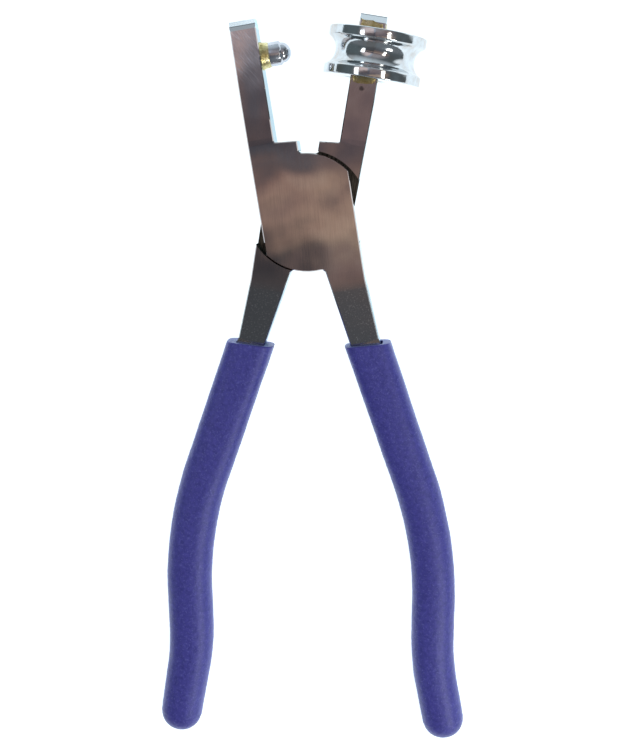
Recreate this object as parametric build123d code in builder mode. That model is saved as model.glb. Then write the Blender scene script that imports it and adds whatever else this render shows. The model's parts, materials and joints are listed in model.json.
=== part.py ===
from build123d import *
import os

# Lap-joint pliers with a domed punch on one jaw and a grooved spool die on the other.
# Frame: the tool lies flat, +Z is the pivot axis, +Y points to the jaws, +X to the spool,
# and the origin is on the pivot axis in the back face of the joint. Millimetres.

os.makedirs("parts", exist_ok=True)

# ---- driving dimensions ----
HALF_OPENING = 9.15          # degrees that each lever is turned from the closed position
JOINT_THICKNESS = 9.5
LAP_GAP = 0.06               # between the two lap plates
PLATE_RADIUS = 15.1          # lap plate above the pivot axis
LOWER_PLATE_RADIUS = 15.6    # lap plate below the pivot axis
RECESS_RADIUS = 15.8         # the other lever's plate turns inside this
BELLY_HEIGHT = 30.0          # where a jaw is widest
SHOULDER_ROOT = 18.8
SHOULDER_END = 18.3
JAW_TIP_THICKNESS = 7.6
TANG_THICKNESS = 6.0
TAPER_START = 19.4           # the joint faces are flat between these heights
TAPER_BEND = 50.0
TANG_LEVEL = 37.4            # depth where the tang has reached its final thickness
TANG_ROOT_DEPTH = 14.4       # the tang's inner edge starts here, inside the plate
EDGE_BEVEL = 0.25
JAW_CORNER_RADIUS = 0.5
NOTCH_RADIUS = 1.0
TANG_CORNER_RADIUS = 1.2

GRIP_TOP = 36.6              # depth of a grip's mouth below the pivot axis
CORE_END = 143.0             # end of the steel core inside a grip
GRIP_THICKNESS = 10.2
GRIP_ROUNDING = 4.4
GRIP_CLEARANCE = 0.05
GRIP_PATH_END = 146.2        # the round end starts here

# Values that differ between the levers. A tip bevel lists (back from the tip, depth) points,
# a route lists the corners of a grip's middle line and bends are the radii at those corners.
PUNCH_LEVER = {
    "half_width": 12.3,
    "jaw_belly": 12.4,
    "jaw_outer": 12.2,
    "jaw_inner": 5.5,
    "jaw_tip": 50.3,
    "tip_bevel": [(2.4, 0.0), (1.3, 0.4), (0.0, 1.6)],
    "shoulder_reach": 0.4,
    "tang_root": 2.1,
    "tang_middle": 9.65,
    "core_width": 7.7,
    "grip_width": 11.95,
    "route": [(10.15, -GRIP_TOP), (20.25, -94.1), (14.45, -129.3), (15.3, -152.3)],
    "bends": [105.0, 75.0],
}
SPOOL_LEVER = {
    "half_width": 11.8,
    "jaw_belly": 12.6,
    "jaw_outer": 12.35,
    "jaw_inner": 5.6,
    "jaw_tip": 51.4,
    "tip_bevel": [(1.7, 0.0), (0.0, 1.5)],
    "shoulder_reach": -0.4,
    "tang_root": 1.45,
    "tang_middle": 9.3,
    "core_width": 7.2,
    "grip_width": 12.4,
    "route": [(9.5, -GRIP_TOP), (19.35, -92.4), (13.15, -126.0), (13.4, -152.3)],
    "bends": [100.0, 65.0],
}

RIVET_RADIUS = 3.0
RIVET_HEAD_RADIUS = 4.4
RIVET_HEAD_HEIGHT = 1.4      # the heads are ground flush with the plates
PIVOT_CLEARANCE = 0.05

PUNCH_HEIGHT = 41.0          # from the pivot axis along the jaw
PUNCH_SHANK_RADIUS = 1.9
PUNCH_SHANK_LENGTH = 4.5
PUNCH_RADIUS = 3.1
PUNCH_NOSE_RADIUS = 2.6
PUNCH_BRAZE_LENGTH = 2.2
PUNCH_COLLAR_LENGTH = 2.9
PUNCH_NOSE_BEVEL = 0.3
PUNCH_BRAZE_FOOT = 3.5
PUNCH_BRAZE_WAIST = 3.2

SPOOL_HEIGHT = 41.6
SPOOL_OFFSET = 10.75         # pivot axis to the spool's own axis when closed
SPOOL_RADIUS = 12.6
SPOOL_LENGTH = 12.0
FLANGE_THICKNESS = 2.45
GROOVE_DEPTH = 2.3
FLANGE_ROUNDING = 0.35
SPOOL_BORE_RADIUS = 5.4
SPOOL_BORE_OFFSET = 9.0      # pivot axis to the middle of the jaw bar
BRAZE_BEAD_RADIUS = 5.9
BRAZE_BEAD_TOP = 4.7
BRAZE_BEAD_HEIGHT = 1.5

# ---- lever frames: u across the lever, v to the jaw tip, w from the lap to the outer face ----
CLOSED_FRONT = Plane(origin=(0, 0, JOINT_THICKNESS / 2), x_dir=(1, 0, 0), z_dir=(0, 0, 1))
CLOSED_REAR = Plane(origin=(0, 0, JOINT_THICKNESS / 2), x_dir=(-1, 0, 0), z_dir=(0, 0, -1))
FRONT = CLOSED_FRONT.rotated((0, 0, HALF_OPENING))
REAR = CLOSED_REAR.rotated((0, 0, -HALF_OPENING))
PUNCH_SEAT = Plane(
    origin=FRONT.from_local_coords((-PUNCH_LEVER["jaw_inner"], PUNCH_HEIGHT, 0)),
    x_dir=FRONT.z_dir,
    z_dir=FRONT.x_dir,
)
PUNCH_PROFILE = Plane(origin=PUNCH_SEAT.origin, x_dir=FRONT.z_dir, z_dir=FRONT.y_dir)
PUNCH_AXIS = Axis(PUNCH_SEAT.origin, FRONT.x_dir)
SPOOL_PROFILE = Plane(
    origin=REAR.from_local_coords((-SPOOL_OFFSET, SPOOL_HEIGHT, 0)),
    x_dir=REAR.x_dir,
    z_dir=REAR.z_dir,
)
SPOOL_AXIS = Axis(SPOOL_PROFILE.origin, REAR.y_dir)
BORE_PROFILE = Plane(
    origin=REAR.from_local_coords((-SPOOL_BORE_OFFSET, SPOOL_HEIGHT, 0)),
    x_dir=REAR.x_dir,
    z_dir=REAR.z_dir,
)
BORE_AXIS = Axis(BORE_PROFILE.origin, REAR.y_dir)


def side_on(frame):
    """The plane through the pivot axis that shows the lever from the side: v and w."""
    return Plane(origin=frame.origin, x_dir=frame.y_dir, z_dir=frame.x_dir)


def nearest_vertex(sketch, point):
    """The sketch vertex closest to a point of its frame."""
    return sketch.vertices().sort_by_distance(point)[0]


def core_route(lever):
    """The corners of the steel core's middle line: the grip's, but from the tang's middle."""
    return [(lever["tang_middle"], -GRIP_TOP)] + lever["route"][1:]


def handle_bar(frame, route, bends, end, width, thickness, rounding=None):
    """A bar along a route, down to a depth below the pivot."""
    last = (route[-1][0], -end)
    with BuildPart() as bar:
        with BuildLine(frame) as middle:
            FilletPolyline(*route[:-1], last, radius=bends)
        with BuildSketch(Plane(middle.wire() @ 0, x_dir=frame.z_dir, z_dir=middle.wire() % 0)):
            if rounding:
                RectangleRounded(thickness, width, rounding)
            else:
                Rectangle(thickness, width)
        sweep()
    return bar.part


def rim_edges(part, frame, side):
    """The outline edges of a lever's broad face on one side, down to the grip.

    On the back the outline stops at the recess, where the other lever's plate lies.
    """
    axis = frame.z_dir * side
    faces = part.faces().filter_by(lambda face: face.normal_at().dot(axis) > 0.9)
    faces = faces.filter_by(lambda face: (face.center() - frame.origin).dot(axis) > LAP_GAP)
    edges = [edge for face in faces for edge in face.edges()]
    rim = ShapeList()
    for edge in edges:
        place = frame.to_local_coords(edge.center())
        radius = (place.X**2 + place.Y**2) ** 0.5
        shared = sum(edge.is_same(other) for other in edges) > 1
        at_recess = side < 0 and radius < RECESS_RADIUS + 1.0
        if not shared and not at_recess and place.Y > 1 - TANG_LEVEL:
            rim.append(edge)
    return rim


def lever_blank(frame, lever):
    """A whole lever: jaw, shoulder, half-thickness lap plate, tang and handle core."""
    half = JOINT_THICKNESS / 2
    half_width, jaw_inner, jaw_tip = lever["half_width"], lever["jaw_inner"], lever["jaw_tip"]
    reach, root = lever["shoulder_reach"], lever["tang_root"]
    route = core_route(lever)
    handle_start, handle_knee = Vector(*route[0]), Vector(*route[1])
    across = (handle_knee - handle_start).normalized().rotate(Axis.Z, 90)
    half_core = across * (lever["core_width"] / 2)
    with BuildPart() as blank:
        with BuildSketch(frame) as plan:
            with Locations((0, -LOWER_PLATE_RADIUS)):
                Rectangle(2 * LOWER_PLATE_RADIUS, 2 * LOWER_PLATE_RADIUS)
            Circle(LOWER_PLATE_RADIUS, mode=Mode.INTERSECT)
            Circle(PLATE_RADIUS)
            Rectangle(2 * half_width, 2 * LOWER_PLATE_RADIUS, mode=Mode.INTERSECT)
            with BuildLine():
                Polyline(
                    (-half_width, 0),
                    (-lever["jaw_belly"], BELLY_HEIGHT),
                    (-lever["jaw_outer"], jaw_tip),
                    (-jaw_inner, jaw_tip),
                    (-jaw_inner, SHOULDER_ROOT),
                    (reach, SHOULDER_END),
                    (reach, 0),
                    close=True,
                )
            make_face()
            with BuildLine():
                Polyline(
                    (half_width, 0),
                    (half_width, -TAPER_START),
                    handle_start + half_core,
                    handle_start - half_core,
                    (root, -TANG_ROOT_DEPTH),
                    (0, 0),
                    close=True,
                )
            make_face()
            fillet(nearest_vertex(plan, (-jaw_inner, SHOULDER_ROOT)), JAW_CORNER_RADIUS)
            fillet(nearest_vertex(plan, (reach, PLATE_RADIUS)), NOTCH_RADIUS)
            fillet(nearest_vertex(plan, (root, -LOWER_PLATE_RADIUS)), TANG_CORNER_RADIUS)
        extrude(amount=half, both=True)
        with BuildSketch(frame.offset(LAP_GAP / 2)):
            Circle(RECESS_RADIUS)
        extrude(amount=-JOINT_THICKNESS, mode=Mode.SUBTRACT)
        with BuildSketch(side_on(frame)) as side:
            with BuildLine():
                Polyline(
                    (-CORE_END, 0),
                    (-CORE_END, TANG_THICKNESS / 2),
                    (-TANG_LEVEL, TANG_THICKNESS / 2),
                    (-TAPER_START, half),
                    (TAPER_START, half),
                    (jaw_tip + 1, JAW_TIP_THICKNESS / 2),
                    (jaw_tip + 1, 0),
                )
                mirror(about=Plane.XZ)
            make_face()
            corners = side.vertices().filter_by(lambda vertex: abs(abs(vertex.X) - TAPER_START) < 1)
            fillet(corners, TAPER_BEND)
        extrude(amount=2 * RECESS_RADIUS, both=True, mode=Mode.INTERSECT)
        for face_side in (1, -1):
            chamfer(rim_edges(blank, frame, face_side), EDGE_BEVEL)
        add(handle_bar(frame, route, lever["bends"], CORE_END, lever["core_width"], TANG_THICKNESS))
    return blank.part


def tip_wedges(frame, lever):
    """The wedges that the bevels take off both faces at the top of a jaw."""
    face = JAW_TIP_THICKNESS / 2
    tip = lever["jaw_tip"]
    cuts = [(tip - back, face - depth) for back, depth in lever["tip_bevel"]]
    above = face + lever["tip_bevel"][0][0]
    with BuildPart() as wedges:
        with BuildSketch(side_on(frame)):
            with BuildLine():
                Polyline(
                    (cuts[0][0], above),
                    *cuts,
                    (tip + JAW_TIP_THICKNESS, cuts[-1][1]),
                    (tip + JAW_TIP_THICKNESS, above),
                    close=True,
                )
            make_face()
            mirror(about=Plane.XZ)
        extrude(amount=2 * lever["half_width"], both=True)
    return wedges.part


def rivet_hole(frame, clearance):
    """The hole through one lap plate, countersunk from the lever's outer face."""
    half = JOINT_THICKNESS / 2
    with BuildPart() as hole:
        with BuildSketch(side_on(frame)):
            with BuildLine():
                Polyline(
                    (0, -half),
                    (RIVET_RADIUS + clearance, -half),
                    (RIVET_RADIUS + clearance, half - RIVET_HEAD_HEIGHT),
                    (RIVET_HEAD_RADIUS + clearance, half),
                    (RIVET_HEAD_RADIUS + clearance, half + 1),
                    (0, half + 1),
                    close=True,
                )
            make_face()
        revolve(axis=Axis(frame.origin, frame.z_dir))
    return hole.part


def grip(frame, lever):
    """A dipped sleeve over the handle core, open at the top and round at the bottom."""
    route, bends, width = lever["route"], lever["bends"], lever["grip_width"]
    end_point = frame.from_local_coords((route[-1][0], -GRIP_PATH_END, 0))
    with BuildPart() as sleeve:
        add(handle_bar(frame, route, bends, GRIP_PATH_END, width, GRIP_THICKNESS, GRIP_ROUNDING))
        with BuildSketch(Plane(origin=end_point, x_dir=frame.x_dir, z_dir=frame.y_dir)):
            RectangleRounded(width, GRIP_THICKNESS, GRIP_ROUNDING)
            with Locations((-width / 2, 0)):
                Rectangle(width, GRIP_THICKNESS, mode=Mode.SUBTRACT)
        revolve(axis=Axis(end_point, frame.z_dir))
        bore_width = lever["core_width"] + 2 * GRIP_CLEARANCE
        bore_thickness = TANG_THICKNESS + 2 * GRIP_CLEARANCE
        bore_end = CORE_END + GRIP_CLEARANCE
        bore = handle_bar(frame, core_route(lever), bends, bore_end, bore_width, bore_thickness)
        add(bore, mode=Mode.SUBTRACT)
    return sleeve.part


# ---- front lever: the punch jaw, the front lap plate and the right handle ----
with BuildPart() as front_lever:
    add(lever_blank(FRONT, PUNCH_LEVER))
    add(tip_wedges(FRONT, PUNCH_LEVER), mode=Mode.SUBTRACT)
    add(rivet_hole(FRONT, 0), mode=Mode.SUBTRACT)
    with BuildSketch(PUNCH_SEAT):
        Circle(PUNCH_SHANK_RADIUS)
    extrude(amount=-PUNCH_SHANK_LENGTH, mode=Mode.SUBTRACT)
front_lever.part.label = "front_lever"
export_step(front_lever.part, "parts/front_lever.step")

# ---- rear lever: the spool jaw, the rear lap plate and the left handle ----
with BuildPart() as rear_lever:
    add(lever_blank(REAR, SPOOL_LEVER))
    add(tip_wedges(REAR, SPOOL_LEVER), mode=Mode.SUBTRACT)
    add(rivet_hole(REAR, PIVOT_CLEARANCE), mode=Mode.SUBTRACT)
rear_lever.part.label = "rear_lever"
export_step(rear_lever.part, "parts/rear_lever.step")

# ---- pivot rivet: fast in the front plate, turning in the rear plate ----
with BuildPart() as pivot_rivet:
    with BuildSketch(Plane.XZ):
        with BuildLine():
            Polyline(
                (0, 0),
                (RIVET_HEAD_RADIUS, 0),
                (RIVET_RADIUS, RIVET_HEAD_HEIGHT),
                (RIVET_RADIUS, JOINT_THICKNESS - RIVET_HEAD_HEIGHT),
                (RIVET_HEAD_RADIUS, JOINT_THICKNESS),
                (0, JOINT_THICKNESS),
                close=True,
            )
        make_face()
    revolve(axis=Axis.Z)
pivot_rivet.part.label = "pivot_rivet"
export_step(pivot_rivet.part, "parts/pivot_rivet.step")

# ---- punch: shank in the jaw, collar and domed nose ----
nose_base = PUNCH_BRAZE_LENGTH + PUNCH_COLLAR_LENGTH
with BuildPart() as punch:
    with BuildSketch(PUNCH_PROFILE):
        with BuildLine():
            Polyline(
                (0, nose_base + PUNCH_NOSE_RADIUS),
                (0, -PUNCH_SHANK_LENGTH),
                (PUNCH_SHANK_RADIUS, -PUNCH_SHANK_LENGTH),
                (PUNCH_SHANK_RADIUS, PUNCH_BRAZE_LENGTH),
                (PUNCH_RADIUS, PUNCH_BRAZE_LENGTH),
                (PUNCH_RADIUS, nose_base - PUNCH_NOSE_BEVEL),
                (PUNCH_NOSE_RADIUS, nose_base),
            )
            CenterArc((0, nose_base), PUNCH_NOSE_RADIUS, 0, 90)
        make_face()
    revolve(axis=PUNCH_AXIS)
punch.part.label = "punch"
export_step(punch.part, "parts/punch.step")

# ---- braze ring that holds the punch on the jaw face ----
with BuildPart() as punch_braze:
    with BuildSketch(PUNCH_PROFILE):
        with BuildLine():
            Polyline(
                (PUNCH_RADIUS, PUNCH_BRAZE_LENGTH),
                (PUNCH_SHANK_RADIUS, PUNCH_BRAZE_LENGTH),
                (PUNCH_SHANK_RADIUS, 0),
                (PUNCH_BRAZE_FOOT, 0),
            )
            ThreePointArc(
                (PUNCH_BRAZE_FOOT, 0),
                (PUNCH_BRAZE_WAIST, PUNCH_BRAZE_LENGTH / 2),
                (PUNCH_RADIUS, PUNCH_BRAZE_LENGTH),
            )
        make_face()
    revolve(axis=PUNCH_AXIS)
punch_braze.part.label = "punch_braze"
export_step(punch_braze.part, "parts/punch_braze.step")

# ---- spool die: a grooved spool bored off its own axis for the jaw bar ----
groove_half = SPOOL_LENGTH / 2 - FLANGE_THICKNESS
with BuildPart() as spool_die:
    with BuildSketch(SPOOL_PROFILE) as spool_face:
        with BuildLine():
            Polyline(
                (SPOOL_RADIUS, groove_half),
                (SPOOL_RADIUS, SPOOL_LENGTH / 2),
                (0, SPOOL_LENGTH / 2),
                (0, -SPOOL_LENGTH / 2),
                (SPOOL_RADIUS, -SPOOL_LENGTH / 2),
                (SPOOL_RADIUS, -groove_half),
            )
            ThreePointArc(
                (SPOOL_RADIUS, -groove_half),
                (SPOOL_RADIUS - GROOVE_DEPTH, 0),
                (SPOOL_RADIUS, groove_half),
            )
        make_face()
        rim_corners = spool_face.vertices().filter_by(lambda vertex: vertex.X > SPOOL_OFFSET)
        fillet(rim_corners, FLANGE_ROUNDING)
    revolve(axis=SPOOL_AXIS)
    with BuildSketch(BORE_PROFILE):
        with Locations((SPOOL_BORE_RADIUS / 2, 0)):
            Rectangle(SPOOL_BORE_RADIUS, SPOOL_LENGTH + 2)
    revolve(axis=BORE_AXIS, mode=Mode.SUBTRACT)
spool_die.part.label = "spool_die"
export_step(spool_die.part, "parts/spool_die.step")

# ---- braze that fills the spool's bore round the bar and stands as a bead at both ends ----
with BuildPart() as spool_braze:
    with BuildSketch(BORE_PROFILE):
        with BuildLine():
            Polyline(
                (0, 0),
                (SPOOL_BORE_RADIUS, 0),
                (SPOOL_BORE_RADIUS, SPOOL_LENGTH / 2),
                (BRAZE_BEAD_RADIUS, SPOOL_LENGTH / 2),
                (BRAZE_BEAD_TOP, SPOOL_LENGTH / 2 + BRAZE_BEAD_HEIGHT),
                (0, SPOOL_LENGTH / 2 + BRAZE_BEAD_HEIGHT),
                close=True,
            )
        make_face()
        mirror(about=Plane.XZ)
    revolve(axis=BORE_AXIS)
    add(rear_lever.part, mode=Mode.SUBTRACT)
spool_braze.part.label = "spool_braze"
export_step(spool_braze.part, "parts/spool_braze.step")

# ---- grips: dipped vinyl sleeves ----
with BuildPart() as right_grip:
    add(grip(FRONT, PUNCH_LEVER))
right_grip.part.label = "right_grip"
export_step(right_grip.part, "parts/right_grip.step")

with BuildPart() as left_grip:
    add(grip(REAR, SPOOL_LEVER))
left_grip.part.label = "left_grip"
export_step(left_grip.part, "parts/left_grip.step")
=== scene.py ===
import json
import math

import bmesh
import bpy
from mathutils import Matrix, Vector, noise


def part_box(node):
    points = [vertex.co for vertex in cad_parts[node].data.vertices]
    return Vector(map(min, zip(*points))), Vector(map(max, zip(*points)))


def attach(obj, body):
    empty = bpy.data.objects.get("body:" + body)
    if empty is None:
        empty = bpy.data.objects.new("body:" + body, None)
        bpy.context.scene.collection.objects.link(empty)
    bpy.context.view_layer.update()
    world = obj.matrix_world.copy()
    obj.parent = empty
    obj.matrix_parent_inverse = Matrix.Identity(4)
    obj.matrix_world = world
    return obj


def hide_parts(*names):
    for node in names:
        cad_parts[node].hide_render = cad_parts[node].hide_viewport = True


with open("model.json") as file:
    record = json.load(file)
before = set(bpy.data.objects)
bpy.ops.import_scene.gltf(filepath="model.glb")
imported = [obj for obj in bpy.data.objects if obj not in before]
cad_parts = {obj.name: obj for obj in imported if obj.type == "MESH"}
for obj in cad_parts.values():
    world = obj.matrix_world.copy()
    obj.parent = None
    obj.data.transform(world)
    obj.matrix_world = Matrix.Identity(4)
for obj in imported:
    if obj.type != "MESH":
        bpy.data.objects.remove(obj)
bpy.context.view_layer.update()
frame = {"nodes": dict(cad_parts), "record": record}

MM = 0.001

# ---- the tool's own frames: each lever is drawn closed, then turned open about the pivot ----
HALF_OPENING = math.radians(9.15)
PIVOT = Vector(frame["record"]["behaviour"]["joints"][0]["pos_m"])


def lever_frame(side):
    """Matrix from a lever's own millimetres to metres; side is 1 in front and -1 at the rear.

    In its own frame, where the tool is closed, u is across, v to the tip and w out of the lap.
    """
    turn = Matrix.Rotation(side * HALF_OPENING, 4, "Z")
    face = Matrix.Rotation(0.0 if side > 0 else math.pi, 4, "Y")
    return Matrix.Translation(PIVOT) @ turn @ face @ Matrix.Scale(MM, 4)


FRONT = lever_frame(1)
REAR = lever_frame(-1)


# ---- node materials ----
class Nodes:
    """A Principled material and short calls that add nodes to it."""

    def __init__(self, name):
        self.material = bpy.data.materials.new(name)
        self.material.use_nodes = True
        self.tree = self.material.node_tree
        self.shader = self.tree.nodes["Principled BSDF"]

    def add(self, kind, inputs=None, **settings):
        node = self.tree.nodes.new(kind)
        for key, value in settings.items():
            setattr(node, key, value)
        for key, value in (inputs or {}).items():
            self.set(node.inputs[key], value)
        return node

    def set(self, socket, value):
        if isinstance(value, bpy.types.NodeSocket):
            self.tree.links.new(value, socket)
        else:
            socket.default_value = value

    def finish(self, **inputs):
        for key, value in inputs.items():
            self.set(self.shader.inputs[key.replace("_", " ")], value)
        return self.material

    def place(self, matrix=None):
        """Object coordinates in millimetres, turned into a lever's frame when one is given."""
        coords = self.add("ShaderNodeTexCoord").outputs["Object"]
        inverse = (matrix or Matrix.Scale(MM, 4)).inverted()
        mapping = self.add("ShaderNodeMapping", {"Vector": coords})
        mapping.inputs["Location"].default_value = inverse.to_translation()
        mapping.inputs["Rotation"].default_value = inverse.to_euler("XYZ")
        mapping.inputs["Scale"].default_value = inverse.to_scale()
        return mapping.outputs["Vector"]

    def axes(self, vector):
        """The three coordinates of a vector as separate values."""
        return self.add("ShaderNodeSeparateXYZ", {"Vector": vector}).outputs[:3]

    def step(self, value, low, high):
        """Smooth rise from 0 at low to 1 at high; falls when low is above high."""
        inputs = {"Value": value, "From Min": low, "From Max": high}
        node = self.add("ShaderNodeMapRange", inputs, interpolation_type="SMOOTHSTEP")
        return node.outputs["Result"]

    def stretch(self, vector, scale, turn=(0, 0, 0)):
        inputs = {"Vector": vector, "Scale": scale, "Rotation": turn}
        return self.add("ShaderNodeMapping", inputs, vector_type="TEXTURE").outputs["Vector"]

    def noise(self, vector, scale, detail=4.0, roughness=0.55):
        inputs = {"Vector": vector, "Scale": scale, "Detail": detail, "Roughness": roughness}
        return self.add("ShaderNodeTexNoise", inputs).outputs["Fac"]

    def ramp(self, value, *stops):
        """Colour ramp; each stop is (position, grey) or (position, (r, g, b))."""
        ramp = self.add("ShaderNodeValToRGB", {"Fac": value})
        elements = ramp.color_ramp.elements
        while len(elements) < len(stops):
            elements.new(0.5)
        for element, (position, colour) in zip(elements, stops):
            element.position = position
            rgb = colour if isinstance(colour, tuple) else (colour,) * 3
            element.color = (*rgb, 1.0)
        return ramp.outputs["Color"]

    def math(self, operation, a, b=0.0, clamp=False):
        node = self.add("ShaderNodeMath", operation=operation, use_clamp=clamp)
        self.set(node.inputs[0], a)
        self.set(node.inputs[1], b)
        return node.outputs[0]

    def mix(self, factor, a, b, blend="MIX"):
        node = self.add("ShaderNodeMix", data_type="RGBA", blend_type=blend)
        self.set(node.inputs["Factor"], factor)
        self.set(node.inputs["A"], a if isinstance(a, bpy.types.NodeSocket) else (*a, 1.0))
        self.set(node.inputs["B"], b if isinstance(b, bpy.types.NodeSocket) else (*b, 1.0))
        return node.outputs["Result"]

    def bump(self, height, distance, strength=1.0, normal=None):
        inputs = {"Height": height, "Distance": distance, "Strength": strength}
        node = self.add("ShaderNodeBump", inputs)
        if normal is not None:
            self.set(node.inputs["Normal"], normal)
        return node.outputs["Normal"]


LAP_DEPTH = 0.2               # a lap face is this close to w = 0
RECESS_RADIUS = 15.8          # the round wall of the recess round the other lever's plate
RECESS_MOUTH = 4.65           # the wall's height, just short of the plate's face
TANG_START = -19.0
SCRATCHED_FROM = 27.0         # the jaw is scratched from here, fully by SCRATCHED_BY
SCRATCHED_BY = 42.0
SCRATCH_TURNS = (0.42, 0.66)  # how far the two sets of scratches lean from the grinding lines


def steel(name, matrix, grain_turn, bevel, dark_spot=None):
    """Ground and polished steel: grinding lines, scratches, a soft wave, painted shade in the lap.

    The tang below the joint is only blasted, so it is duller, darker and speckled. The last
    argument (u, v) is the place of a small near-black spot. bevel is the tip's bevel, painted as a
    bluish-white
    highlight with a dark line across it: its v, its length and how far that line lies from its
    end.
    """
    m = Nodes(name)
    place = m.place(matrix)
    u, v, w = m.axes(place)
    grain = m.noise(m.stretch(place, (6.0, 0.22, 0.22), (0, 0, grain_turn)), 1.0, 3.0)
    fine = [
        m.noise(m.stretch(place, (5.0, 0.27, 0.27), (0, 0, grain_turn + turn)), 1.0, 3.0)
        for turn in SCRATCH_TURNS
    ]
    upper = m.step(v, SCRATCHED_FROM, SCRATCHED_BY)
    scratches = m.math("MULTIPLY", m.step(m.math("MAXIMUM", *fine), 0.52, 0.68), upper)
    cloud = m.noise(place, 0.09, 3.0)
    tint = m.ramp(
        cloud,
        (0.34, (0.46, 0.42, 0.425)),
        (0.50, (0.55, 0.49, 0.475)),
        (0.66, (0.61, 0.565, 0.55)),
    )
    tint = m.mix(m.math("MULTIPLY", scratches, 0.45), tint, (0.80, 0.80, 0.83))
    streaks = m.step(grain, 0.42, 0.66)
    tint = m.mix(m.math("MULTIPLY", streaks, 0.14), tint, (0.40, 0.36, 0.36))
    specks = m.noise(place, 2.6, 2.0)
    blasted = m.mix(m.step(specks, 0.56, 0.70), (0.38, 0.40, 0.41), (0.66, 0.68, 0.68))
    below = m.step(v, TANG_START, TANG_START - 4.0)
    tint = m.mix(below, tint, blasted)
    radius = m.math("SQRT", m.math("ADD", m.math("MULTIPLY", u, u), m.math("MULTIPLY", v, v)))
    # Painted shade: the lap faces and a thin ring round the recess wall get a near-black colour.
    lap_shade = m.step(m.math("ABSOLUTE", w), LAP_DEPTH, LAP_DEPTH * 0.8)
    recess_wall_shade = m.step(m.math("ABSOLUTE", m.math("SUBTRACT", radius, RECESS_RADIUS)), 0.10, 0.06)
    below_face = m.step(m.math("ABSOLUTE", w), RECESS_MOUTH, RECESS_MOUTH - 0.15)
    recess_wall_shade = m.math("MULTIPLY", recess_wall_shade, below_face)
    inside = m.step(radius, RECESS_RADIUS + 0.4, RECESS_RADIUS + 0.2)
    lap_shade = m.math("MULTIPLY", m.math("MAXIMUM", lap_shade, recess_wall_shade), inside)
    # A stretched noise varies the painted shade from near black to dark grey.
    lap_shade_texture = m.noise(m.stretch(place, (0.25, 6.0, 0.5)), 1.0, 3.0)
    tint = m.mix(lap_shade, tint, m.ramp(lap_shade_texture, (0.40, (0.035, 0.035, 0.03)), (0.66, (0.16, 0.15, 0.12))))
    tip, length, ridge = bevel
    # Painted highlight: the tip's bevel is painted bluish white, with a dark line across it.
    edge = m.math("ABSOLUTE", m.math("SUBTRACT", v, tip - ridge))
    bevel_highlight_and_line = m.mix(m.step(edge, 0.16, 0.06), (0.90, 0.96, 1.0), (0.30, 0.33, 0.36))
    tint = m.mix(m.step(v, tip - length - 0.05, tip - length + 0.05), tint, bevel_highlight_and_line)
    # A small near-black spot with a ragged edge is mixed into the colour at the given (u, v)
    # place.
    if dark_spot:
        away = [m.math("SUBTRACT", value, centre) for value, centre in zip((u, v), dark_spot)]
        squares = [m.math("MULTIPLY", value, value) for value in away]
        ragged = m.math("MULTIPLY", m.noise(place, 1.6, 3.0), 1.1)
        mark = m.step(m.math("ADD", m.math("ADD", *squares), ragged), 1.15, 0.55)
        tint = m.mix(m.math("MULTIPLY", mark, 0.75), tint, (0.06, 0.06, 0.06))
    rough = m.math("ADD", m.math("MULTIPLY", grain, 0.09), 0.02)
    rough = m.math("ADD", rough, m.math("MULTIPLY", below, 0.10))
    rough = m.math("ADD", rough, m.math("MULTIPLY", lap_shade, 0.25))
    wave = m.noise(place, 0.075, 1.0)
    normal = m.bump(wave, 0.0003, 0.5)
    normal = m.bump(grain, 0.00001, 0.16, normal)
    normal = m.bump(scratches, 0.00001, 0.15, normal)
    return m.finish(
        Base_Color=tint, Metallic=1.0, Roughness=rough, Normal=normal,
        Specular_Tint=(0.60, 0.82, 0.92, 1.0),
    )


def bright_steel():
    """Turned, polished steel of the punch."""
    m = Nodes("punch_steel")
    place = m.place(FRONT)
    rings = m.noise(m.stretch(place, (0.22, 30.0, 30.0)), 1.0, 2.0)
    tint = m.ramp(m.noise(place, 0.5), (0.3, (0.50, 0.54, 0.60)), (0.7, (0.64, 0.68, 0.74)))
    rough = m.math("MULTIPLY_ADD", rings, 0.12)
    rough.node.inputs[2].default_value = 0.12
    normal = m.bump(rings, 0.00001, 0.4)
    return m.finish(Base_Color=tint, Metallic=1.0, Roughness=rough, Normal=normal)


def chrome():
    """Mirror-bright turned spool with faint tool rings."""
    m = Nodes("spool_chrome")
    place = m.place(REAR)
    rings = m.noise(m.stretch(place, (40.0, 0.16, 40.0)), 1.0, 2.0)
    smear = m.noise(place, 0.25, 4.0)
    tint = m.ramp(
        smear,
        (0.36, (0.56, 0.55, 0.54)),
        (0.50, (0.62, 0.66, 0.69)),
        (0.64, (0.70, 0.76, 0.80)),
    )
    rough = m.ramp(smear, (0.35, 0.05), (0.75, 0.14))
    normal = m.bump(rings, 0.00001, 0.25)
    normal = m.bump(m.noise(place, 0.55, 3.0), 0.00006, 0.35, normal)
    return m.finish(Base_Color=tint, Metallic=1.0, Roughness=rough, Normal=normal)


def brass(name, matrix, dull):
    """Braze: brass-coloured, uneven, and browner the duller it is."""
    m = Nodes(name)
    place = m.place(matrix)
    patches = m.noise(place, 0.7, 5.0, 0.6)
    tint = m.ramp(
        patches,
        (0.30, (0.28, 0.22, 0.08)),
        (0.48, (0.66, 0.59, 0.28)),
        (0.70, (0.93, 0.89, 0.60)),
    )
    tint = m.mix(dull, tint, (0.20, 0.14, 0.06))
    rough = m.ramp(patches, (0.3, 0.45), (0.7, 0.22))
    normal = m.bump(m.noise(place, 2.2, 4.0), 0.00012, 0.6)
    return m.finish(Base_Color=tint, Metallic=1.0, Roughness=rough, Normal=normal)


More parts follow.
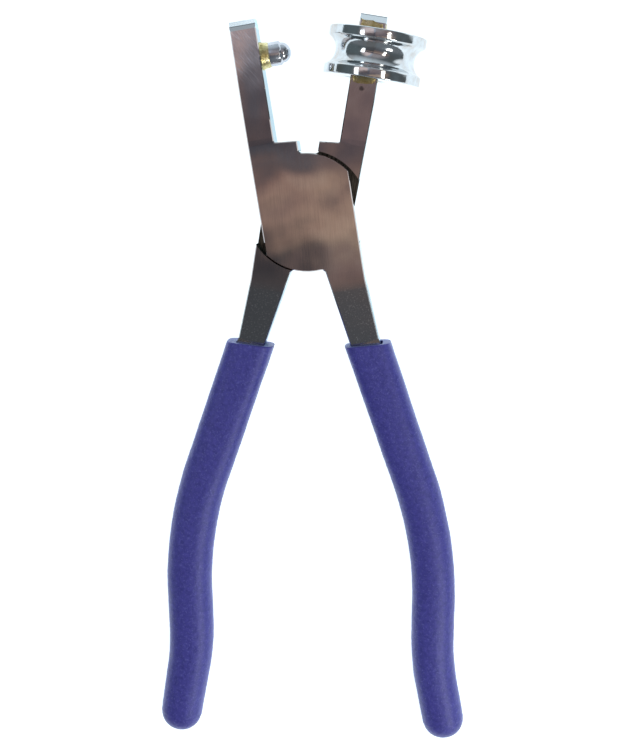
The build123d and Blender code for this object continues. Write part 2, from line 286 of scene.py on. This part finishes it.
def vinyl():
    """Matte dipped vinyl, blue-violet, with an orange-peel skin and faint lighter flecks."""
    m = Nodes("grip_vinyl")
    place = m.place()
    cells = m.noise(place, 0.9, 4.0, 0.6)
    grain = m.noise(place, 2.1, 3.0, 0.65)
    broad = m.noise(place, 0.06, 2.0)
    tint = m.ramp(cells, (0.32, (0.038, 0.034, 0.27)), (0.70, (0.080, 0.072, 0.43)))
    tint = m.mix(m.math("MULTIPLY", broad, 0.35), tint, (0.055, 0.042, 0.35))
    flecks = m.ramp(grain, (0.55, 0.0), (0.68, 1.0))
    tint = m.mix(m.math("MULTIPLY", flecks, 0.42), tint, (0.21, 0.22, 0.66))
    rough = m.ramp(cells, (0.3, 0.44), (0.7, 0.58))
    normal = m.bump(cells, 0.00016, 0.9)
    normal = m.bump(grain, 0.00013, 0.9, normal)
    return m.finish(
        Base_Color=tint, Roughness=rough, Normal=normal,
        Sheen_Weight=1.0, Sheen_Roughness=0.22, Sheen_Tint=(0.46, 0.66, 1.0, 1.0),
        Specular_IOR_Level=0.5, Specular_Tint=(0.45, 0.60, 1.0, 1.0),
        Coat_Weight=0.75, Coat_Roughness=0.50, Coat_Tint=(0.92, 0.96, 1.0, 1.0),
    )


# ---- mesh helpers ----
def mesh_piece(name, points, faces, matrix, material, body, node, smooth_angle=40.0):
    """A closed mesh piece in metres that rides on a body and stands for a CAD node."""
    mesh = bpy.data.meshes.new(name)
    mesh.from_pydata([matrix @ Vector(point) for point in points], [], faces)
    tidy = bmesh.new()
    tidy.from_mesh(mesh)
    bmesh.ops.remove_doubles(tidy, verts=tidy.verts, dist=0.001 * MM)
    bmesh.ops.recalc_face_normals(tidy, faces=tidy.faces)
    tidy.to_mesh(mesh)
    tidy.free()
    mesh.materials.append(material)
    mesh.shade_smooth()
    mesh.set_sharp_from_angle(angle=math.radians(smooth_angle))
    piece = bpy.data.objects.new(name, mesh)
    bpy.context.collection.objects.link(piece)
    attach(piece, body)
    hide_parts(node)
    return piece


def ring_faces(rings, around, closed_ends=True):
    """Quads between successive rings of points, with fans over the first and last ring."""
    faces = []
    for ring in range(rings - 1):
        for k in range(around):
            a, b = ring * around + k, ring * around + (k + 1) % around
            faces.append((a, b, b + around, a + around))
    if closed_ends:
        faces.append(tuple(reversed(range(around))))
        faces.append(tuple(range((rings - 1) * around, rings * around)))
    return faces


def arc(centre, radius, start, end, steps):
    """Points (across, along) on an arc, angles in degrees."""
    angles = [math.radians(start + (end - start) * k / steps) for k in range(steps + 1)]
    return [(centre[0] + radius * math.cos(a), centre[1] + radius * math.sin(a)) for a in angles]


# ---- the levers and the rivet keep their CAD shape ----
FRONT_BEVEL = (50.3, 2.4, 1.3)
REAR_BEVEL = (51.4, 1.7, 0.1)
# (u, v) of the small near-black spot on the rear jaw, just below the spool
REAR_DARK_SPOT = (-8.85, 33.0)
front_steel = steel("front_lever_steel", FRONT, math.radians(86), FRONT_BEVEL)
rear_steel = steel("rear_lever_steel", REAR, math.radians(84), REAR_BEVEL, REAR_DARK_SPOT)
for node, material in (
    ("front_lever", front_steel),
    ("rear_lever", rear_steel),
    ("pivot_rivet", front_steel),
):
    cad = frame["nodes"][node]
    cad.data.materials.clear()
    cad.data.materials.append(material)

# ---- punch: collar and domed nose, turned round u ----
JAW_INNER = 5.5
PUNCH_HEIGHT = 41.0
PUNCH_BRAZE_LENGTH = 2.2
PUNCH_RADIUS = 3.1
PUNCH_NOSE_RADIUS = 2.6
PUNCH_NOSE_BASE = 5.35
PUNCH_NOSE_STRETCH = 0.9
PUNCH_EDGE = 0.5              # length of the bevel between collar and nose
PUNCH_SHANK_RADIUS = 1.9
PUNCH_SHANK_LENGTH = 4.4
AROUND = 128


def lathe(
    name, profile, axis_point, frame_matrix, along_u, material, body, node, wobble=None
):
    """Turns a profile of (radius, along, shift) round the u or v axis of a lever frame."""
    points = []
    for radius, along, shift in profile:
        for k in range(AROUND):
            angle = 2 * math.pi * k / AROUND
            reach = radius + (wobble(radius, along, angle) if wobble else 0.0)
            side, rise = reach * math.cos(angle) + shift, reach * math.sin(angle)
            step = (along, side, rise) if along_u else (side, along, rise)
            points.append(Vector(axis_point) + Vector(step))
    faces = ring_faces(len(profile), AROUND)
    return mesh_piece(name, points, faces, frame_matrix, material, body, node)


nose = arc((0, 0), PUNCH_NOSE_RADIUS, 88, 0, 18)
nose = [(radius, PUNCH_NOSE_BASE + PUNCH_NOSE_STRETCH * along) for radius, along in nose]
punch_profile = nose + [
    (PUNCH_RADIUS - 0.04, PUNCH_NOSE_BASE - PUNCH_EDGE + 0.10),
    (PUNCH_RADIUS, PUNCH_NOSE_BASE - PUNCH_EDGE),
    (PUNCH_RADIUS, PUNCH_BRAZE_LENGTH),
    (PUNCH_SHANK_RADIUS, PUNCH_BRAZE_LENGTH),
    (PUNCH_SHANK_RADIUS, -PUNCH_SHANK_LENGTH),
]
PUNCH_SEAT = (-JAW_INNER, PUNCH_HEIGHT, 0)
lathe(
    "punch_turned",
    [(radius, along, 0) for radius, along in punch_profile],
    PUNCH_SEAT, FRONT, True, bright_steel(), "front_lever_body", "punch",
)


def braze_wobble(radius, along, angle):
    """How far the run of braze stands out of true, in millimetres."""
    place = Vector((3 * math.cos(angle), 3 * math.sin(angle), along))
    return 0.16 * noise.noise(place * 0.55) + 0.05 * noise.noise(place * 1.9)


braze_profile = [
    (PUNCH_SHANK_RADIUS + 0.5, 0.0),
    (3.62, 0.0),
    (3.50, 0.25),
    (3.36, 0.7),
    (3.26, 1.2),
    (3.20, 1.7),
    (3.14, 2.1),
    (2.98, 2.3),
    (PUNCH_SHANK_RADIUS + 0.5, 2.3),
]
lathe(
    "punch_braze_ring",
    [(radius, along, 0) for radius, along in braze_profile],
    PUNCH_SEAT, FRONT, True, brass("punch_brass", FRONT, 0.0),
    "front_lever_body", "punch_braze", braze_wobble,
)

# ---- spool die: two flanges, a concave groove and an off-centre bore, turned round v ----
SPOOL_RADIUS = 12.6
SPOOL_HALF = 6.0
SPOOL_AXIS = 10.75
SPOOL_HEIGHT = 41.6
FLANGE = 2.45
GROOVE_DEPTH = 2.3
RIM_ROUND = 0.35
BORE_RADIUS = 5.4
BAR_AXIS = 9.0
bore_shift = SPOOL_AXIS - BAR_AXIS

groove_half = SPOOL_HALF - FLANGE
groove_radius = (groove_half**2 + GROOVE_DEPTH**2) / (2 * GROOVE_DEPTH)
groove_sweep = math.degrees(math.asin(groove_half / groove_radius))
groove_centre = (SPOOL_RADIUS - GROOVE_DEPTH + groove_radius, 0)
lip = SPOOL_RADIUS - RIM_ROUND
upper = (
    [(BORE_RADIUS, 0.0, bore_shift), (BORE_RADIUS, SPOOL_HALF - 0.3, bore_shift)]
    + [(BORE_RADIUS + 0.3, SPOOL_HALF, bore_shift)]
    + [(x, y, 0) for x, y in arc((lip, SPOOL_HALF - RIM_ROUND), RIM_ROUND, 90, 0, 8)]
    + [(x, y, 0) for x, y in arc((lip, groove_half + RIM_ROUND), RIM_ROUND, 0, -60, 6)]
    + [(x, y, 0) for x, y in arc(groove_centre, groove_radius, 180 - 0.93 * groove_sweep, 180, 20)]
)
lower = [(radius, -along, shift) for radius, along, shift in reversed(upper)]
spool = lathe(
    "spool_turned", upper + lower[1:-1], (-SPOOL_AXIS, SPOOL_HEIGHT, 0), REAR, False,
    chrome(), "rear_lever_body", "spool_die",
)

# ---- braze beads above and below the spool, from its end faces up to the square bar ----
BAR_HALF_WIDTH = 3.45
BAR_HALF_THICKNESS = {1: 3.9, -1: 4.3}
BEAD_FOOT = 0.22
BEAD_HEIGHT = {1: 2.1, -1: 1.3}
BEAD_DULLNESS = {1: 0.25, -1: 0.6}
BEAD_LEAN = {1: 0.0, -1: 0.45}    # how much taller a bead is on the side towards the other jaw


def bar_reach(angle, thickness):
    """Distance from the bar's middle line to its rounded-square surface."""
    across = abs(math.cos(angle)) / BAR_HALF_WIDTH
    deep = abs(math.sin(angle)) / thickness
    return (across**8 + deep**8) ** (-1 / 8)


def braze_bead(name, end):
    """One bead; end is 1 at the top of the spool and -1 at the bottom."""
    rows = 9
    points = []
    for row in range(rows + 1):
        share = row / rows
        for k in range(AROUND):
            angle = 2 * math.pi * k / AROUND
            inner = bar_reach(angle, BAR_HALF_THICKNESS[end]) - 0.12
            spot = Vector((4 * math.cos(angle), 4 * math.sin(angle), end * 3.0))
            uneven = noise.noise(spot * 0.45)
            reach = inner + 0.18 + (BEAD_FOOT + 0.2 * uneven) * (1 - share) ** 2.0
            reach = inner if row == rows else reach
            swell = 1 + 0.45 * uneven + BEAD_LEAN[end] * math.cos(angle)
            height = BEAD_HEIGHT[end] * swell * min(1.0, share * rows / (rows - 1))
            height += 0.10 * noise.noise(spot * 1.7) * share
            along = end * (SPOOL_HALF - 0.02 + height)
            points.append((reach * math.cos(angle), along, reach * math.sin(angle)))
    centre = Vector((-BAR_AXIS, SPOOL_HEIGHT, 0))
    points = [Vector(point) + centre for point in points]
    faces = ring_faces(rows + 1, AROUND)
    return mesh_piece(
        name, points, faces, REAR, brass(name + "_brass", REAR, BEAD_DULLNESS[end]),
        "rear_lever_body", "spool_braze",
    )


braze_bead("spool_braze_upper", 1)
braze_bead("spool_braze_lower", -1)

# ---- grips: thick dipped sleeves along the bent handles ----
RIGHT_GRIP = {
    "route": [(10.15, -36.6), (20.25, -94.1), (14.45, -129.3), (15.3, -152.3)],
    "bends": [105.0, 75.0],
    "widths": (12.0, 11.8, 11.4),
    "mouth": 3.80,
}
LEFT_GRIP = {
    "route": [(9.5, -36.6), (19.35, -92.4), (13.15, -126.0), (13.4, -152.3)],
    "bends": [100.0, 65.0],
    "widths": (12.4, 12.5, 11.3),
    "mouth": 3.68,
}
GRIP_THICKNESS = 10.2
GRIP_SQUARENESS = 2.2         # superellipse power of the section, from TOP_SQUARENESS at the mouth
TOP_SQUARENESS = 3.4
MOUTH_HALF_THICKNESS = 3.05
MOUTH_SHEAR = 0.23           # the mouth is cut more nearly square to the tool than to the handle
MOUTH_DROP = 0.55
MOUTH_FADE = 14.0
MOUTH_DEPTH = 9.0
RING_STEP = 0.36
GRIP_AROUND = 112
MOUTH_SQUARENESS = 14.0
MOUTH_CHAMFER = 0.12
PEEL_HEIGHT = 0.055
CAP_RINGS = 26


def rounded_route(corners, radii, step):
    """Points and directions along straight runs joined by tangent arcs."""
    corners = [Vector(corner) for corner in corners]
    pieces, start = [], corners[0]
    for before, corner, after, radius in zip(corners, corners[1:], corners[2:], radii):
        arrive, leave = (corner - before).normalized(), (after - corner).normalized()
        turn = arrive.angle_signed(leave)
        reach = radius * math.tan(abs(turn) / 2)
        entry = corner - arrive * reach
        pieces.append(("run", start, arrive, (entry - start).length, 0.0))
        pieces.append(("arc", entry, arrive, radius * abs(turn), -turn))
        start = corner + leave * reach
    last = (corners[-1] - corners[-2]).normalized()
    pieces.append(("run", start, last, (corners[-1] - start).length, 0.0))
    route = []
    for kind, origin, direction, length, turn in pieces:
        count = max(1, round(length / step))
        for k in range(count):
            share = (k + 0.5) / count
            if kind == "run":
                route.append((origin + direction * length * share, direction))
                continue
            bent = Matrix.Rotation(turn * share, 2) @ direction
            chord = Matrix.Rotation(turn * share / 2, 2) @ direction
            radius = length / abs(turn)
            route.append((origin + chord * 2 * radius * math.sin(abs(turn * share) / 2), bent))
    return route


def superellipse(angle, half_width, half_thickness, squareness):
    across, deep = math.cos(angle), math.sin(angle)
    reach = (abs(across) ** squareness + abs(deep) ** squareness) ** (-1 / squareness)
    return across * reach * half_width, deep * reach * half_thickness


def grip(name, shape, matrix, body, node, seed):
    """Sleeve: a mouth wall round the tang, a textured outside and a closed round bottom."""
    route = rounded_route(shape["route"], shape["bends"], RING_STEP)
    top_width, waist_width, end_width = shape["widths"]
    mouth = shape["mouth"]
    total = len(route)
    cap = end_width / 2
    rings = []
    for depth in (MOUTH_DEPTH, MOUTH_DEPTH * 0.5, 1.2, 0.35):
        place, direction = route[round(depth / RING_STEP)]
        rings.append((place, direction, mouth, MOUTH_HALF_THICKNESS, MOUTH_SQUARENESS, 0.0))
    top, heading = route[0]
    rings.append(
        (top - heading * 0.05, heading, mouth + MOUTH_CHAMFER,
         MOUTH_HALF_THICKNESS + MOUTH_CHAMFER, 10.0, 0.0)
    )
    for inset, rise in ((0.40, 0.16), (0.12, 0.10)):
        half, half_thickness = top_width / 2 - inset, GRIP_THICKNESS / 2 - inset
        rings.append((top - heading * rise, heading, half, half_thickness, TOP_SQUARENESS, 0.0))
    for k, (place, direction) in enumerate(route):
        share = k / total
        left = (total - k) * RING_STEP
        if left < cap:
            break
        width = top_width + (waist_width - top_width) * min(1.0, share / 0.55)
        width += (end_width - waist_width) * max(0.0, (share - 0.72) / 0.28)
        squareness = TOP_SQUARENESS + (GRIP_SQUARENESS - TOP_SQUARENESS) * min(1.0, share / 0.4)
        rings.append((place, direction, width / 2, GRIP_THICKNESS / 2, squareness, 1.0))
    place, direction = route[-1]
    base = place - direction * cap
    for k in range(1, CAP_RINGS):
        lift = math.sin(math.pi / 2 * k / CAP_RINGS)
        shrink = math.sqrt(1 - lift * lift)
        rings.append(
            (base + direction * cap * lift, direction, cap * shrink,
             GRIP_THICKNESS / 2 * shrink, 2.0 + (GRIP_SQUARENESS - 2.0) * shrink, shrink)
        )
    points = []
    for place, direction, half_width, half_thickness, squareness, peel in rings:
        across = Vector((-direction.y, direction.x))
        depth = (place - top).dot(heading)
        cut = max(0.0, 1.0 - max(0.0, depth) / MOUTH_FADE)
        for k in range(GRIP_AROUND):
            u, w = superellipse(
                2 * math.pi * k / GRIP_AROUND, half_width, half_thickness, squareness
            )
            slide = direction * cut * (MOUTH_DROP + MOUTH_SHEAR * u)
            spot = Vector((place.x + across.x * u + slide.x, place.y + across.y * u + slide.y, w))
            outward = Vector((across.x * u, across.y * u, w))
            if peel and outward.length > 0:
                skin = noise.noise((spot + seed) * 0.85) + 0.6 * noise.noise((spot + seed) * 1.9)
                swell = 0.10 * noise.noise((spot + seed) * 0.12)
                spot += outward.normalized() * peel * (PEEL_HEIGHT * skin + swell)
            points.append(spot)
    faces = ring_faces(len(rings), GRIP_AROUND)
    return mesh_piece(
        name, points, faces, matrix, grip_vinyl, body, node, smooth_angle=65.0
    )


grip_vinyl = vinyl()
grip("right_grip_sleeve", RIGHT_GRIP, FRONT, "front_lever_body", "right_grip", Vector((0, 0, 0)))
grip("left_grip_sleeve", LEFT_GRIP, REAR, "rear_lever_body", "left_grip", Vector((31, 7, 13)))

# ---- floor: the plane that the spool's lower flange and the grips' ends lie on ----
spool_low, spool_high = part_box("spool_die")
grip_low, grip_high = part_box("right_grip")
flange_y = (spool_low.y + spool_high.y) / 2 - SPOOL_HALF * math.cos(HALF_OPENING) * MM
end_y = grip_low.y + RIGHT_GRIP["widths"][2] / 2 * MM
tilt = math.atan2(grip_low.z - spool_low.z, flange_y - end_y)
FLOOR_SIZE = 6.0
floor_mesh = bpy.data.meshes.new("floor")
floor_mesh.from_pydata(
    [(x * FLOOR_SIZE, y * FLOOR_SIZE, 0) for x, y in ((-1, -1), (1, -1), (1, 1), (-1, 1))],
    [], [(0, 1, 2, 3)],
)
floor = bpy.data.objects.new("floor", floor_mesh)
bpy.context.collection.objects.link(floor)
floor.location = (0, flange_y, spool_low.z - 0.0001)
floor.rotation_euler = (-tilt, 0, 0)
floor_paint = Nodes("floor_paint")
FLOOR_GLOW = 1.05
floor_paint.finish(
    Base_Color=(0.50, 0.51, 0.52, 1), Roughness=0.8,
    Emission_Color=(0.86, 0.95, 1, 1), Emission_Strength=FLOOR_GLOW,
)
floor_mesh.materials.append(floor_paint.material)

# ---- surroundings: a dim room with warm bands overhead, and three soft boxes ----
# This is more than a plain studio: the bands overhead were chosen by comparing renders with the
# photograph, so that the flat steel shows the light and dark bands that it shows there.
world = bpy.data.worlds.new("studio")
bpy.context.scene.world = world
world.use_nodes = True
tree = world.node_tree
background = tree.nodes["Background"]
heading = tree.nodes.new("ShaderNodeTexCoord").outputs["Generated"]
split = tree.nodes.new("ShaderNodeSeparateXYZ")
tree.links.new(heading, split.inputs["Vector"])


def world_ramp(value, *stops):
    ramp = tree.nodes.new("ShaderNodeValToRGB")
    tree.links.new(value, ramp.inputs["Fac"])
    elements = ramp.color_ramp.elements
    while len(elements) < len(stops):
        elements.new(0.5)
    for element, (position, colour) in zip(elements, stops):
        element.position = position
        element.color = (*colour, 1.0)
    return ramp.outputs["Color"]


def half_range(value):
    """Maps a value from -1..1 to 0..1."""
    node = tree.nodes.new("ShaderNodeMath")
    node.operation = "MULTIPLY_ADD"
    node.inputs[1].default_value = 0.5
    node.inputs[2].default_value = 0.5
    tree.links.new(value, node.inputs[0])
    return node.outputs[0]


def blend(factor, low, high, kind="MIX"):
    """Mixes two colours by a factor, or fully when the factor is None."""
    node = tree.nodes.new("ShaderNodeMix")
    node.data_type = "RGBA"
    node.blend_type = kind
    node.inputs["Factor"].default_value = 1.0
    if factor is not None:
        tree.links.new(factor, node.inputs["Factor"])
    tree.links.new(low, node.inputs["A"])
    tree.links.new(high, node.inputs["B"])
    return node.outputs["Result"]


def slant(direction):
    """How far a direction points one way, from 0 to 1."""
    node = tree.nodes.new("ShaderNodeVectorMath")
    node.operation = "DOT_PRODUCT"
    tree.links.new(heading, node.inputs[0])
    node.inputs[1].default_value = direction
    return half_range(node.outputs["Value"])


WORLD_GAIN = 1.5
DARK = (0.075, 0.085, 0.09)
BLACK = (0, 0, 0)
WHITE = (1, 1, 1)
along = half_range(split.outputs["Y"])

# overhead, as the flat faces show it: bands along the tool, other ones on the left and the right
overhead_left = world_ramp(
    along,
    (0.340, (0.070, 0.074, 0.082)), (0.380, (0.070, 0.068, 0.073)), (0.457, (0.050, 0.050, 0.056)),
    (0.465, (0.17, 0.130, 0.112)), (0.474, (0.36, 0.262, 0.215)), (0.485, (0.215, 0.146, 0.132)),
    (0.493, (0.085, 0.078, 0.086)), (0.500, (0.086, 0.094, 0.115)), (0.508, (0.050, 0.054, 0.068)),
    (0.536, (0.062, 0.060, 0.069)), (0.556, (0.110, 0.098, 0.106)), (0.574, (0.36, 0.345, 0.36)),
)
overhead_right = world_ramp(
    along,
    (0.340, (0.090, 0.094, 0.105)), (0.365, (0.150, 0.115, 0.108)), (0.452, (0.190, 0.145, 0.138)),
    (0.462, (0.27, 0.215, 0.175)), (0.472, (0.40, 0.300, 0.235)), (0.482, (0.32, 0.24, 0.195)),
    (0.490, (0.165, 0.122, 0.115)), (0.506, (0.105, 0.092, 0.104)), (0.530, (0.175, 0.135, 0.142)),
    (0.550, (0.185, 0.145, 0.145)), (0.580, (0.24, 0.22, 0.23)),
)
across_jaw = world_ramp(
    slant((0.98, 0.196, 0)), (0.443, (1.50, 1.28, 1.20)), (0.454, (0.80, 0.92, 1.05))
)
above_plate = world_ramp(along, (0.510, BLACK), (0.525, WHITE))
jaw_left = blend(None, overhead_left, across_jaw, "MULTIPLY")
rightness = world_ramp(half_range(split.outputs["X"]), (0.452, BLACK), (0.474, WHITE))
overhead = blend(rightness, blend(above_plate, overhead_left, jaw_left), overhead_right)

# lower down: dim walls, paler far off to the right and beyond the jaws
sides = world_ramp(
    slant((0.94, 0.34, 0)),
    (0.1, (0.070, 0.085, 0.09)), (0.95, DARK), (0.985, (0.75, 0.78, 0.80)),
)
ends = world_ramp(
    along,
    (0.20, (0.12, 0.13, 0.14)), (0.79, DARK),
    (0.87, (0.26, 0.28, 0.30)), (0.97, (0.40, 0.45, 0.48)),
)
endness = world_ramp(along, (0.22, WHITE), (0.35, BLACK), (0.70, BLACK), (0.80, WHITE))
upness = world_ramp(split.outputs["Z"], (0.70, BLACK), (0.90, WHITE))
surround = blend(upness, blend(endness, sides, ends), overhead)
tree.links.new(surround, background.inputs["Color"])
background.inputs["Strength"].default_value = WORLD_GAIN


def soft_box(name, place, size, power, colour):
    lamp = bpy.data.lights.new(name, "AREA")
    lamp.shape = "RECTANGLE"
    lamp.size, lamp.size_y = size
    lamp.energy = power
    lamp.color = colour
    box = bpy.data.objects.new(name, lamp)
    bpy.context.collection.objects.link(box)
    box.location = place
    box.rotation_euler = (0, math.atan2(place[0], place[2]), 0)


soft_box("soft_box_left", (-0.36, 0.02, 0.55), (0.10, 0.30), 0.40, (0.95, 0.97, 1.0))
soft_box("soft_box_right", (0.32, -0.06, 0.60), (0.09, 0.30), 0.40, (1.0, 0.93, 0.82))
soft_box("soft_box_low", (0.28, -0.34, 0.34), (0.12, 0.12), 0.9, (1.0, 0.98, 0.95))
bpy.context.scene.view_settings.view_transform = "Standard"

# ---- camera: the photograph's view, from the jaw side and a little to the right ----
CAMERA_PLACE = (24.24, 16.07, 316.2)
CAMERA_AIM = (1.19, -43.97, 0)
LENS = 57.3
camera = bpy.data.objects.new("camera", bpy.data.cameras.new("camera"))
bpy.context.collection.objects.link(camera)
camera.data.lens = LENS
camera.data.sensor_width = 36.0
camera.data.clip_start = 0.01
camera.location = PIVOT + Vector(CAMERA_PLACE) * MM
ahead = (PIVOT + Vector(CAMERA_AIM) * MM - camera.location).normalized()
right = ahead.cross(Vector((0, 1, 0))).normalized()
above = right.cross(ahead)
camera.rotation_mode = "QUATERNION"
camera.rotation_quaternion = Matrix((right, above, -ahead)).transposed().to_quaternion()
bpy.context.scene.camera = camera
